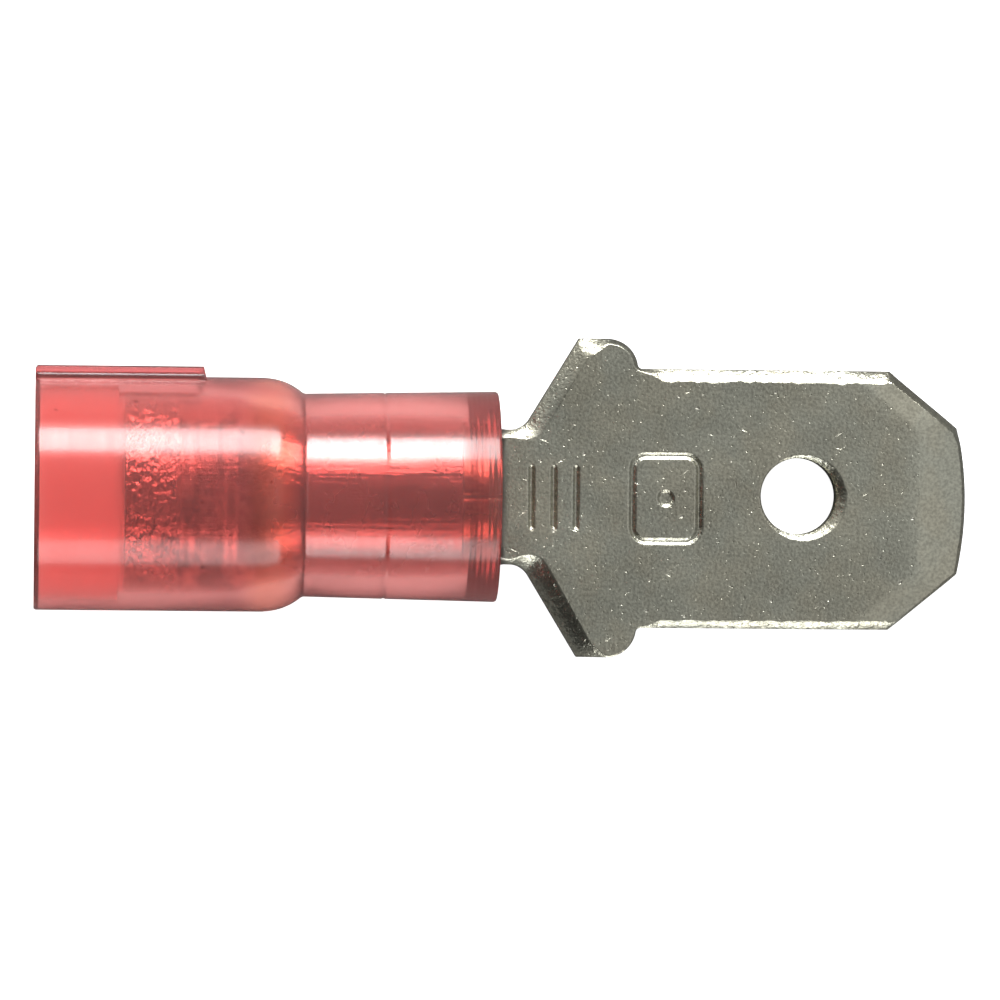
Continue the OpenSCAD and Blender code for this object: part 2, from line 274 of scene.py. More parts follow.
# Waves per millimetre along the terminal and across it.
waves, given, result = new_group(
    "waves", {"Along": 0.4, "Across": 1.5, "Detail": 3.0}, ["Height"])
place = put(waves, "TexCoord")
spread = put(waves, "VectorMath", {0: place.outputs["Object"], 1: (1 / mm,) * 3},
             operation="MULTIPLY")
stretch = put(waves, "CombineXYZ", {0: given["Along"], 1: given["Across"],
                                    2: given["Across"]})
spread = put(waves, "VectorMath", {0: spread.outputs[0], 1: stretch.outputs[0]},
             operation="MULTIPLY")
swell = put(waves, "TexNoise", {"Vector": spread.outputs[0], "Scale": 1.0,
                                "Detail": given["Detail"], "Roughness": 0.55})
waves.links.new(swell.outputs[0], result["Height"])


# Terminal
# One blank stamped from tinned brass sheet. The punch rounds its upper edges over, the tip
# is coined to a lead-in bevel, plain marks are struck into its face, and the wide end is
# rolled upwards into a barrel whose butt seam lies on top.
sheet_t = 0.8
tab_w = 6.35
tab_len = 8.1
tip_w = 3.59
tip_cut_len = 1.89
tip_r = 8
bevel_len = 1.17
corner_bevel = 0.65
tip_t = 0.4
hole_d = 1.87
hole_from_tip = 4.13
hole_side = 0.09
hole_roll_depth = 0.17
hole_roll_width = 0.26
shoulder_step = 0.732
shoulder_len = 1.44
shoulder_round = 0.75
shoulder_fillet = 0.12
flare_angle = 58.8
neck_w = 3.31
neck_len = 0.07
neck_fillet = 0.55
curl_len = 0.7
barrel_d = 3.3
barrel_start = 6.37
barrel_end = 10.87
seam_gap = 0.06
burr = 0.03

barrel_r = barrel_d / 2
middle_r = barrel_r - sheet_t / 2
middle_z = -middle_r
half_tab = tab_w / 2
half_shoulder = half_tab + shoulder_step
half_neck = neck_w / 2
half_barrel = math.pi * middle_r - seam_gap / 2
curl_end = barrel_end + curl_len
fillet_start = curl_end + neck_len
flare_start = fillet_start + neck_fillet * math.tan(math.radians(flare_angle / 2))
shoulder_start = flare_start + (half_shoulder - half_neck) / math.tan(
    math.radians(flare_angle))
shoulder_end = shoulder_start + shoulder_len
tab_tip = shoulder_end + tab_len
hole_x = tab_tip - hole_from_tip
bevel_x = tab_tip - bevel_len


def arc(x, y, r, start, end, steps):
    return [(x + r * math.cos(math.radians(start + (end - start) * i / steps)),
             y + r * math.sin(math.radians(start + (end - start) * i / steps)))
            for i in range(steps + 1)]


def split(points, longest):
    """The same run of points, with each long straight stretch cut into short ones."""
    out = [points[0]]
    for a, b in zip(points, points[1:]):
        if math.dist(a, b) < 1e-6:
            continue
        n = max(1, math.ceil(math.dist(a, b) / longest((a[0] + b[0]) / 2)))
        out += [(a[0] + (b[0] - a[0]) * i / n, a[1] + (b[1] - a[1]) * i / n)
                for i in range(1, n + 1)]
    return out


round_x = shoulder_end - shoulder_round
round_y = half_shoulder - shoulder_round
fillet_rise = half_tab + shoulder_fillet - round_y
inner_x = round_x + math.sqrt((shoulder_round + shoulder_fillet) ** 2 - fillet_rise ** 2)
inner_angle = math.degrees(math.asin(fillet_rise / (shoulder_round + shoulder_fillet)))
tip_angle = math.degrees(math.asin(tip_w / 2 / tip_r))
side = split(
    [(barrel_start, 0), (barrel_start, half_barrel), (barrel_end, half_barrel),
     (barrel_end, half_neck)]
    + arc(fillet_start, half_neck + neck_fillet, neck_fillet, -90, flare_angle - 90, 12)
    + [(shoulder_start, half_shoulder)]
    + arc(round_x, round_y, shoulder_round, 90, inner_angle, 18)
    + arc(inner_x, half_tab + shoulder_fillet, shoulder_fillet, inner_angle + 180, 270, 6)
    + [(tab_tip - tip_cut_len, half_tab)]
    + arc(tab_tip - tip_r, 0, tip_r, tip_angle, 0, 14),
    lambda x: 0.12 if x < fillet_start + 0.1 else 0.35 if x < shoulder_end - 0.3 else 0.12)
outline = side + [(x, -y) for x, y in reversed(side[1:-1])]


def moved_in(loop, distance):
    """A closed loop, run clockwise, moved inwards at every point by its own distance."""
    out = []
    for i, p in enumerate(loop):
        before, after = loop[i - 1], loop[(i + 1) % len(loop)]
        normals = []
        for a, b in ((before, p), (p, after)):
            size = math.dist(a, b)
            normals.append(((b[1] - a[1]) / size, -(b[0] - a[0]) / size))
        (ax, ay), (bx, by) = normals
        scale = distance[i] / (1 + ax * bx + ay * by)
        out.append((p[0] + scale * (ax + bx), p[1] + scale * (ay + by)))
    return out


def ramp(x, start, end):
    """Rises softly from 0 at the start to 1 at the end."""
    share = min(1, max(0, (x - start) / (end - start)))
    return share * share * (3 - 2 * share)


# The struck marks: three short bars and a plain rounded oblong with a dimple in it. Each
# groove has a flat floor, mark_floor of its half width, and soft sides.
mark_depth = 0.055
mark_half = 0.075
mark_floor = 0.35
bar_x = (12.15, 12.7, 13.25)
bar_half = 0.72
oblong_x = 15.45
oblong_half_x = 0.82
oblong_half_y = 1.05
oblong_corner = 0.35
dimple_r = 0.13


def mark_distance(x, y):
    """How far a point of the face is from the middle line of the nearest groove."""
    bars = min(math.hypot(x - b, max(0, abs(y) - bar_half)) for b in bar_x)
    dx = abs(x - oblong_x) - oblong_half_x + oblong_corner
    dy = abs(y) - oblong_half_y + oblong_corner
    past = math.hypot(max(dx, 0), max(dy, 0)) + min(max(dx, dy), 0)
    dimple = max(0, math.hypot(x - oblong_x, y) - dimple_r)
    return min(bars, abs(past - oblong_corner), dimple)


def mark_drop(x, y):
    return mark_depth * (1 - ramp(mark_distance(x, y) / mark_half, mark_floor, 1))


cut_back = Vector((tab_tip - tip_cut_len, half_tab))
cut_front = Vector(arc(tab_tip - tip_r, 0, tip_r, tip_angle, tip_angle, 1)[0])
cut_out = Vector((cut_back.y - cut_front.y, cut_front.x - cut_back.x)).normalized()


def bevel_drop(x, y):
    """How far the coined bevels along the tip and the cut corners lower each face."""
    tip_reach = x - bevel_x
    corner_reach = (Vector((x, abs(y))) - cut_back).dot(cut_out) + corner_bevel
    return max(0, tip_reach, corner_reach) * (sheet_t - tip_t) / 2 / bevel_len


# How far the punch pulled the upper edge down, and how far in that reaches, at stations
# along either side: (X, depth, width).
far_roll = ((barrel_end, 0.05, 0.05), (barrel_end + 0.2, 0.22, 0.22),
            (fillet_start, 0.16, 0.2), (flare_start + 0.15, 0.17, 0.44),
            (shoulder_start + 0.3, 0.22, 0.42), (shoulder_start + 0.75, 0.24, 0.14),
            (shoulder_end + 0.12, 0.12, 0.1), (shoulder_end + 0.75, 0.19, 0.32),
            (cut_back.x - 0.02, 0.19, 0.32), (cut_back.x + 0.2, 0.3, 0.19),
            (cut_front.x, 0.27, 0.17), (tab_tip - 0.1, 0.08, 0.08))
near_roll = ((barrel_end, 0.05, 0.05), (barrel_end + 0.2, 0.22, 0.22),
             (fillet_start, 0.14, 0.14), (flare_start + 0.15, 0.36, 0.52),
             (shoulder_start + 0.1, 0.34, 0.46), (shoulder_start + 0.75, 0.02, 0.04),
             (shoulder_end + 0.12, 0.02, 0.04), (shoulder_end + 0.75, 0.13, 0.21),
             (cut_back.x - 0.02, 0.13, 0.21), (cut_back.x + 0.2, 0.04, 0.05),
             (cut_front.x, 0.05, 0.07), (tab_tip - 0.1, 0.08, 0.08))
roll_bend = 0.5
roll_shares = (0, 0.03, 0.08, 0.2, 0.35, 0.5, 0.65, 0.8, 0.92, 1)
crease_w = 0.015


def roll_at(x, y):
    """Depth and width of the round at an edge point; the inner border is a little ragged."""
    table = far_roll if y > 0 else near_roll
    depth, width = table[0][1:] if x < table[0][0] else table[-1][1:]
    for a, b in zip(table, table[1:]):
        if a[0] <= x < b[0]:
            share = ramp(x, a[0], b[0])
            depth, width = (p + (q - p) * share for p, q in zip(a[1:], b[1:]))
    if x > shoulder_end:
        seed = Vector((x, y, 0))
        width *= 1 + 0.16 * noise.noise(seed * 2.1) + 0.2 * noise.noise(seed * 5.7)
    return depth, width


def roll_rise(share):
    """The round's height at a share of its width: steep at the edge, creased inside."""
    return share * (1 + roll_bend) - roll_bend * share * share


def rolled_up(x, u, h):
    """A point of the blank, u across and h above its middle, after the barrel is rolled."""
    straight = min(1, max(0, (x - barrel_end) / curl_len))
    if straight > 0.999:
        return x, u, middle_z + h
    bend = middle_r / (1 - straight) ** 2
    return (x, (bend - h) * math.sin(u / bend),
            middle_z + bend - (bend - h) * math.cos(u / bend))


def inside(points, loop):
    """Which of the points lie in the loop, and how far each is from it."""
    p = np.array(points)
    a = np.array(loop)
    b = np.roll(a, -1, axis=0)
    odd = np.zeros(len(p), bool)
    far = np.full(len(p), 1e9)
    for (x0, y0), (x1, y1) in zip(a, b):
        crosses = (y0 > p[:, 1]) != (y1 > p[:, 1])
        if y0 != y1:
            odd ^= crosses & (p[:, 0] < (x1 - x0) * (p[:, 1] - y0) / (y1 - y0) + x0)
        edge = np.array([x1 - x0, y1 - y0])
        t = np.clip(((p - (x0, y0)) @ edge) / (edge @ edge), 0, 1)
        far = np.minimum(far, np.linalg.norm(p - (x0, y0) - t[:, None] * edge, axis=1))
    return odd, far


def grid(x0, x1, dx, y0, y1, dy):
    nx, ny = max(1, round((x1 - x0) / dx)), max(1, round((y1 - y0) / dy))
    return [(x0 + (x1 - x0) * i / nx, y0 + (y1 - y0) * j / ny)
            for i in range(nx + 1) for j in range(ny + 1)]


def sheet_face(loop, hole, marked):
    """Points and triangles that fill a face of the blank between its edge and the hole.

    The points lie closer where the barrel curls, along the bevels and round the marks.
    """
    barrel = grid(barrel_start, barrel_end, 0.45, -half_barrel, half_barrel, 0.13)
    curl = grid(barrel_end + 0.06, fillet_start + 0.1, 0.06, -half_neck, half_neck, 0.13)
    plain = grid(fillet_start + 0.5, tab_tip, 0.42, -half_shoulder, half_shoulder, 0.42)
    bevel = grid(bevel_x - 0.03, bevel_x + 0.03, 0.06, -half_tab, half_tab, 0.15)
    bevel = [p for p in bevel if bevel_drop(bevel_x - 0.04, p[1]) == 0]
    crest = cut_back - cut_out * corner_bevel
    for step in range(-3, 16):
        for shift in (-0.03, 0.03):
            spot = crest + Vector((cut_out.y, -cut_out.x)) * step * 0.15 + cut_out * shift
            if spot.x < bevel_x:
                bevel += [(spot.x, spot.y), (spot.x, -spot.y)]
    marks = []
    if marked:
        around = 0.13
        marks = grid(bar_x[0] - around, bar_x[2] + around, 0.032, -0.88, 0.88, 0.05)
        marks += grid(oblong_x - oblong_half_x - around, oblong_x + oblong_half_x + around,
                      0.036, -oblong_half_y - around, oblong_half_y + around, 0.036)
        marks = [p for p in marks if mark_distance(*p) < 2.2 * mark_half]
    points = []
    for group, gap in ((barrel, 0.06), (curl, 0.04), (plain, 0.1), (bevel, 0.06),
                       (marks, 0.02)):
        if not group:
            continue
        odd, far = inside(group, loop)
        in_hole, from_hole = inside(group, hole)
        for p, ok, room, void, gulf in zip(group, odd, far, in_hole, from_hole):
            if not ok or room < gap or void or gulf < 0.05:
                continue
            if group is plain and (mark_distance(*p) < 2.6 * mark_half and marked
                                   or abs(p[0] - bevel_x) < 0.1):
                continue
            points.append(p)
    n, m = len(loop), len(hole)
    edges = [(i, (i + 1) % n) for i in range(n)]
    edges += [(n + i, n + (i + 1) % m) for i in range(m)]
    given_points = [Vector(p) for p in loop + hole + points]
    made, _, faces, source, _, _ = delaunay_2d_cdt(given_points, edges, [], 1, 1e-6)
    first = [min(s) if s else -1 for s in source]
    found = [[first[i] for i in face] for face in faces]
    found = [face for face in found if -1 not in face]
    middles = [tuple(sum((given_points[i] for i in face), Vector((0, 0))) / 3)
               for face in found]
    in_hole = inside(middles, hole)[0]
    return points, [face for face, void in zip(found, in_hole) if not void]


points, faces = [], []


def add_loop(flat, height):
    """Adds a closed loop of the blank at a height above or below its middle."""
    start = len(points)
    for i, (x, u) in enumerate(flat):
        points.append(rolled_up(x, u, height[i]))
    return start


def join_loops(a, b, n):
    for i in range(n):
        j = (i + 1) % n
        faces.append((a + i, a + j, b + j, b + i))


count = len(outline)
rolls = [roll_at(x, y) for x, y in outline]
low = [-sheet_t / 2 + bevel_drop(x, y) for x, y in outline]
stack = [(moved_in(outline, [burr] * count), low),
         (outline, [h + burr for h in low])]
for share in roll_shares:
    loop = moved_in(outline, [width * share for depth, width in rolls])
    stack.append((loop, [sheet_t / 2 - bevel_drop(*p) - depth * (1 - roll_rise(share))
                         for p, (depth, width) in zip(loop, rolls)]))
brink = moved_in(outline, [width + crease_w for depth, width in rolls])
stack.append((brink, [sheet_t / 2 - bevel_drop(*p) for p in brink]))
starts = [add_loop(*level) for level in stack]
for a, b in zip(starts, starts[1:]):
    join_loops(a, b, count)

# The hole's own round is widest on the tip's side, towards hole_pull_angle, and only
# hole_least of that on the other. Its border is a little uneven too.
hole_steps = 120
hole_least = 0.14
hole_pull_angle = -0.35
hole_brink = 0.025
round_hole = arc(0, 0, 1, 0, 360, hole_steps)[:-1]
pull = [hole_least + (1 - hole_least)
        * (0.5 + 0.5 * math.cos(math.atan2(s, c) - hole_pull_angle)) ** 1.5
        + 0.08 * noise.noise(Vector((c, s, 0)) * 7) for c, s in round_hole]
hole_stack = [([hole_d / 2 + burr] * hole_steps, [-sheet_t / 2] * hole_steps),
              ([hole_d / 2] * hole_steps, [-sheet_t / 2 + burr] * hole_steps)]
for share in roll_shares:
    drop = hole_roll_depth * (1 - roll_rise(share))
    hole_stack.append(([hole_d / 2 + hole_roll_width * f * share for f in pull],
                       [sheet_t / 2 - drop * f for f in pull]))
hole_stack.append(([hole_d / 2 + hole_roll_width * f + hole_brink for f in pull],
                   [sheet_t / 2] * hole_steps))
rings = [[(hole_x + r * c, hole_side + r * s) for r, (c, s) in zip(radii, round_hole)]
         for radii, heights in hole_stack]
hole_starts = [add_loop(ring, heights) for ring, (radii, heights) in zip(rings, hole_stack)]
for a, b in zip(hole_starts, hole_starts[1:]):
    join_loops(a, b, hole_steps)

for top in (False, True):
    level = -1 if top else 0
    extra, triangles = sheet_face(stack[level][0], rings[level], top)
    start = len(points)
    for x, u in extra:
        thick = sheet_t / 2 - bevel_drop(x, u)
        points.append(rolled_up(x, u, thick - mark_drop(x, u) if top else -thick))
    index = (list(range(starts[level], starts[level] + count))
             + list(range(hole_starts[level], hole_starts[level] + hole_steps))
             + list(range(start, start + len(extra))))
    faces += [tuple(index[i] for i in face) for face in triangles]
terminal = new_piece("tinned_terminal", points, faces)

# Where the painted shade in the curl's trough is centred, past the barrel's end.
shade_from_barrel = 0.33
grain_height = 0.0058
swell_height = 0.02
pit_depth = 0.012
dot_depth = 0.006
score_depth = 0.008
torn_depth = 0.022

tin = new_material("tin plate")
tree = tin.node_tree
pits = use_group(tree, nicks, {"Cells per mm": 2.6, "Share": 0.6, "Size": 0.14})
dots = use_group(tree, nicks, {"Cells per mm": 8.0, "Share": 0.9, "Size": 0.3})
scores = [use_group(tree, nicks, {"Cells per mm": 4.0, "Share": 0.8, "Size": 0.1,
                                  "Turn": turn, "Stretch": 7.0}) for turn in (0.4, 1.5, 2.5)]
slow = use_group(tree, waves, {"Along": 0.5, "Across": 0.8, "Detail": 4.0})
grain = use_group(tree, waves, {"Along": 14.0, "Across": 14.0, "Detail": 3.0})
cloud = put(tree, "MapRange", {0: slow[0], 1: 0.3, 2: 0.7, 3: 0.26, 4: 0.36})
dull = put(tree, "Math", {0: pits[1], 1: 0.25, 2: cloud.outputs[0]},
           operation="MULTIPLY_ADD")
patch = put(tree, "MapRange", {0: grain[0], 1: 0.35, 2: 0.65, 3: 0.0, 4: 1.0})
tone = put(tree, "MixRGB", {"Fac": patch.outputs[0], "Color1": (0.48, 0.47, 0.385, 1),
                            "Color2": (0.7, 0.69, 0.565, 1)})
tint = use_group(tree, waves, {"Along": 0.9, "Across": 0.7, "Detail": 3.0})
tint = put(tree, "MapRange", {0: tint[0], 1: 0.4, 2: 0.6, 3: 0.0, 4: 1.0})
tint = put(tree, "MixRGB", {"Fac": tint.outputs[0], "Color1": (0.98, 1.0, 1.015, 1),
                            "Color2": (1.015, 1.0, 0.98, 1)})
tone = put(tree, "MixRGB", {"Fac": 1.0, "Color1": tone.outputs[0],
                            "Color2": tint.outputs[0]}, blend_type="MULTIPLY")
tone = put(tree, "MixRGB", {"Fac": pits[1], "Color1": tone.outputs[0],
                            "Color2": (0.42, 0.41, 0.36, 1)})
spot = put(tree, "TexCoord")
spot = put(tree, "SeparateXYZ", {0: spot.outputs["Object"]})

# Painted shade: the curl's trough behind the housing's mouth lies in shade past the barrel's
# open end, and that shade is painted into its tone as a dark band.
curl_painted_shade = put(tree, "Math", {0: spot.outputs[0], 1: (barrel_end + shade_from_barrel) * mm},
           operation="SUBTRACT")
curl_painted_shade = put(tree, "Math", {0: curl_painted_shade.outputs[0]}, operation="ABSOLUTE")
curl_painted_shade = put(tree, "MapRange", {0: curl_painted_shade.outputs[0], 1: 0.24 * mm, 2: 0.42 * mm, 3: 1.0, 4: 0.0})
tone = put(tree, "MixRGB", {"Fac": curl_painted_shade.outputs[0], "Color1": tone.outputs[0],
                            "Color2": (0.2, 0.18, 0.16, 1)})

# Heights in millimetres: the rolled skin, then pits, dots and scores in it. All of them are
# pressed nearly flat where the tip and its corners are coined.
relief = put(tree, "Math", {0: grain[0], 1: grain_height}, operation="MULTIPLY")
for dent, depth in [(pits, pit_depth), (dots, dot_depth)] + [(s, score_depth) for s in scores]:
    relief = put(tree, "Math", {0: dent[0], 1: depth, 2: relief.outputs[0]},
                 operation="MULTIPLY_ADD")
flat_y = put(tree, "Math", {0: spot.outputs[1]}, operation="ABSOLUTE")
reach = put(tree, "Math", {0: flat_y.outputs[0], 1: cut_out.y,
                           2: (corner_bevel - cut_back.dot(cut_out)) * mm},
            operation="MULTIPLY_ADD")
reach = put(tree, "Math", {0: spot.outputs[0], 1: cut_out.x, 2: reach.outputs[0]},
            operation="MULTIPLY_ADD")
front = put(tree, "Math", {0: spot.outputs[0], 1: bevel_x * mm}, operation="SUBTRACT")
reach = put(tree, "Math", {0: reach.outputs[0], 1: front.outputs[0]}, operation="MAXIMUM")
coined = put(tree, "MapRange", {0: reach.outputs[0], 1: -0.05 * mm, 2: 0.1 * mm,
                                3: 1.0, 4: 0.3})
relief = put(tree, "Math", {0: relief.outputs[0], 1: coined.outputs[0]}, operation="MULTIPLY")
relief = put(tree, "Math", {0: slow[0], 1: swell_height, 2: relief.outputs[0]},
             operation="MULTIPLY_ADD")

# Where the face falls away to a punched edge, the metal is a little torn.
slope = put(tree, "NewGeometry")
slope = put(tree, "SeparateXYZ", {0: slope.outputs["Normal"]})
slope = put(tree, "MapRange", {0: slope.outputs[2], 1: 0.97, 2: 0.9, 3: 0.0, 4: torn_depth})
sheared = put(tree, "MapRange", {0: spot.outputs[0], 1: curl_end * mm, 2: fillet_start * mm,
                                 3: 0.0, 4: 1.0})
sheared = put(tree, "Math", {0: sheared.outputs[0], 1: slope.outputs[0]}, operation="MULTIPLY")
torn = use_group(tree, waves, {"Along": 9.0, "Across": 9.0, "Detail": 3.0})
relief = put(tree, "Math", {0: torn[0], 1: sheared.outputs[0], 2: relief.outputs[0]},
             operation="MULTIPLY_ADD")
bump = put(tree, "Bump", {"Height": relief.outputs[0], "Distance": mm, "Strength": 1.0})
metal = put(tree, "BsdfPrincipled", {
    "Base Color": tone.outputs[0], "Roughness": dull.outputs[0], "Normal": bump.outputs[0],
    "Metallic": 1.0})
finish_material(tin, metal.outputs[0])
terminal.data.materials.append(tin)
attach(terminal, "root")
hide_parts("terminal")


# Grip sleeve
# A thin sleeve drawn from brass and tinned. Its wide end holds the wire's insulation with a
# roughened band, a cone leads down, and the narrow end is pressed over the barrel.
grip_bore = 4.26
sleeve_wall = 0.25
sleeve_start = 2.17
cone_start = 4.87
cone_end = 6.27
sleeve_end = 10.32
barrel_gap = 0.03
band = (2.22, 3.5)
band_depth = 0.08
band_fade = 0.12
band_grain = 4.2
ring_at = (3.78, 4.6)
ring_half = 0.26
ring_deep = 0.045
lip = 0.03
sleeve_sides = 240

sleeve_in = barrel_r + barrel_gap
sleeve_out = sleeve_in + sleeve_wall
grip_in = grip_bore / 2
grip_out = grip_in + sleeve_wall
cone_slope = math.atan((grip_out - sleeve_out) / (cone_end - cone_start))
cone_back = sleeve_wall * math.tan(cone_slope / 2)


def lathe(name, profile, sides, shape=None):
    """A closed profile of (x, radius) turned about X. shape may change any point's radius."""
    ring_points, ring_faces = [], []
    for x, r in profile:
        for k in range(sides):
            turn = 2 * math.pi * k / sides
            radius = shape(x, r, turn) if shape else r
            ring_points.append((x, radius * math.sin(turn), radius * math.cos(turn)))
    rings = len(profile)
    for i in range(rings):
        for k in range(sides):
            a, b = i * sides, (i + 1) % rings * sides
            n = (k + 1) % sides
            ring_faces.append((a + k, a + n, b + n, b + k))
    return new_piece(name, ring_points, ring_faces)


def roughened(x, r, turn):
    """The rough band and two shallow rings, all pressed into the outer face of the wall."""
    if r < (grip_in + grip_out) / 2:
        return r
    near_ring = max(1 - abs(x - at) / ring_half for at in ring_at)
    if near_ring > 0 and r > grip_out - 0.01:
        return r - ring_deep * ramp(near_ring, 0, 1)
    if not band[0] < x < band[1]:
        return r
    fade = min(1, (x - band[0]) / band_fade, (band[1] - x) / band_fade)
    seed = Vector((x, grip_out * math.sin(turn), grip_out * math.cos(turn))) * band_grain
    value = abs(noise.noise(seed) + 0.6 * noise.noise(seed * 2.3)
                + 0.6 * noise.noise(seed * 4.9))
    return r - band_depth * fade * min(1, value * 1.3)


sleeve_run = split(
    [(sleeve_start + lip, grip_out), (band[0], grip_out)], lambda x: 0.1)
sleeve_run += split([(band[0], grip_out), (band[1], grip_out)], lambda x: 0.045)[1:]
sleeve_run += split([(band[1], grip_out), (cone_start - 0.05, grip_out)], lambda x: 0.06)[1:]
sleeve_run += split([(cone_start - 0.05, grip_out), (cone_start, grip_out - 0.004),
                     (cone_start + 0.05, grip_out - 0.05 * math.tan(cone_slope)),
                     (cone_end - 0.05, sleeve_out + 0.05 * math.tan(cone_slope)),
                     (cone_end, sleeve_out + 0.004), (cone_end + 0.05, sleeve_out),
                     (sleeve_end - lip, sleeve_out)], lambda x: 0.4)[1:]
sleeve_run += arc(sleeve_end - lip, sleeve_out - lip, lip, 90, 0, 4)[1:]
sleeve_run += arc(sleeve_end - lip, sleeve_in + lip, lip, 0, -90, 4)
sleeve_run += split([(sleeve_end - lip, sleeve_in), (cone_end - cone_back, sleeve_in),
                     (cone_start - cone_back, grip_in), (sleeve_start + lip, grip_in)],
                    lambda x: 0.4)[1:]
sleeve_run += arc(sleeve_start + lip, grip_in + lip, lip, -90, -180, 4)[1:]
sleeve_run += arc(sleeve_start + lip, grip_out - lip, lip, 180, 90, 4)[:-1]
sleeve = lathe("drawn_sleeve", sleeve_run, sleeve_sides, roughened)

draw_line_height = 0.022
sand_height = 0.012
grit_height = 0.075

drawn = new_material("drawn tin plate")
tree = drawn.node_tree
lines = use_group(tree, waves, {"Along": 0.25, "Across": 7.0, "Detail": 4.0})
smudge = use_group(tree, waves, {"Along": 1.1, "Across": 0.8, "Detail": 4.0})
spot = put(tree, "TexCoord")
spot = put(tree, "SeparateXYZ", {0: spot.outputs["Object"]})
dull = put(tree, "MapRange", {0: spot.outputs[0], 1: cone_start * mm, 2: cone_end * mm,
                              3: 0.12, 4: 0.0})
worn = put(tree, "MapRange", {0: spot.outputs[0], 1: (band[1] - 0.1) * mm, 2: band[1] * mm,
                              3: 0.3, 4: 1.0})
dull = put(tree, "Math", {0: dull.outputs[0], 1: worn.outputs[0]}, operation="MULTIPLY")
sheen = put(tree, "MapRange", {0: smudge[0], 1: 0.35, 2: 0.65, 3: 0.2, 4: 0.3})
sheen = put(tree, "Math", {0: sheen.outputs[0], 1: dull.outputs[0]}, operation="ADD")
stain = put(tree, "MapRange", {0: smudge[0], 1: 0.45, 2: 0.58, 3: 0.0, 4: 1.0})
stain = put(tree, "Math", {0: stain.outputs[0], 1: dull.outputs[0]}, operation="MULTIPLY")
stain = put(tree, "MapRange", {0: stain.outputs[0], 1: 0.0, 2: 0.12, 3: 0.0, 4: 1.0})
# Painted shade: the narrow part's metal gets a darker tone than the wide part's, so that what
# it mirrors reads darker through the nylon.
wide = put(tree, "MapRange", {0: spot.outputs[0], 1: (cone_end - 0.4) * mm, 2: cone_end * mm,
                              3: 1.0, 4: 0.0})
tone = put(tree, "MixRGB", {"Fac": wide.outputs[0], "Color1": (0.51, 0.5, 0.47, 1),
                            "Color2": (0.7, 0.68, 0.64, 1)})
tone = put(tree, "MixRGB", {"Fac": stain.outputs[0], "Color1": tone.outputs[0],
                            "Color2": (0.34, 0.32, 0.31, 1)})
grit = use_group(tree, waves, {"Along": 4.5, "Across": 4.5, "Detail": 3.0})
rough = put(tree, "MapRange", {0: worn.outputs[0], 1: 0.3, 2: 1.0, 3: grit_height, 4: 0.0})
grit = put(tree, "Math", {0: grit[0], 1: rough.outputs[0]}, operation="MULTIPLY")
sand = use_group(tree, waves, {"Along": 14.0, "Across": 14.0, "Detail": 3.0})
relief = put(tree, "Math", {0: sand[0], 1: sand_height, 2: grit.outputs[0]},
             operation="MULTIPLY_ADD")
relief = put(tree, "Math", {0: lines[0], 1: draw_line_height, 2: relief.outputs[0]},
             operation="MULTIPLY_ADD")
bump = put(tree, "Bump", {"Height": relief.outputs[0], "Distance": mm, "Strength": 1.0})
metal = put(tree, "BsdfPrincipled", {
    "Base Color": tone.outputs[0], "Roughness": sheen.outputs[0], "Normal": bump.outputs[0],
    "Metallic": 1.0})
finish_material(drawn, metal.outputs[0])
sleeve.data.materials.append(drawn)
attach(sleeve, "root")
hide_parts("grip_sleeve")


# Housing
# Clear red nylon, moulded in one piece and pushed over the sleeve from the tab's side. The
# steel of the mould shows as fine lines, and a key rib runs along one side.
wide_r = 2.849
wide_bore = 2.41
entry_bore = 2.58
narrow_bore = 1.96
narrow_r = 2.46
mouth_r = math.hypot(half_neck, barrel_r) + 0.03
front_r = mouth_r + 0.205
case_shoulder = 5.55
case_round = 1.45
case_end = 11.24
mouth_len = 0.75
entry_end = 2.02
entry_lead = 0.12
edge_round = 0.03
edge_half_round = 0.015
corner_soft = 0.015
ring_line = 8.5
ring_half_w = 0.05
ring_depth = 0.02
mouth_steps = 36
mouth_ripples = ((0.003, 1.05), (0.002, 0.55))
rib_len = 4.15
rib_w = 1.45
rib_h = 0.245
rib_slant = 0.07
rib_steps = 6
rib_flow = ((0.02, 0.0), (0.36, 0.01), (0.46, 0.035), (0.56, 0.01), (0.78, 0.015), (0.9, 0.03),
            (0.97, 0.07), (1.0, 0.13))
case_sides = 192


def case_outer(x):
    """Outer radius of the housing: straight wide part, round shoulder, then the cone."""
    straight = narrow_r + (front_r - narrow_r) * max(0, x - case_shoulder) / (
        case_end - case_shoulder)
    if x <= case_shoulder:
        return wide_r
    reach = min(case_round, x - case_shoulder)
    fall = wide_r - case_round + math.sqrt(max(0, case_round ** 2 - reach ** 2))
    blend = math.sqrt((fall - straight) ** 2 + corner_soft ** 2)
    radius = (fall + straight + blend) / 2 - corner_soft / 2
    line = max(0, 1 - abs(x - ring_line) / ring_half_w)
    return radius - ring_depth * line


def rib_at(x):
    """How much of the rib stands at a station: all of it, then a steep slanted end."""
    return min(1, max(0, (rib_len - x) / rib_slant)) * min(1, 0.85 + 3 * x)


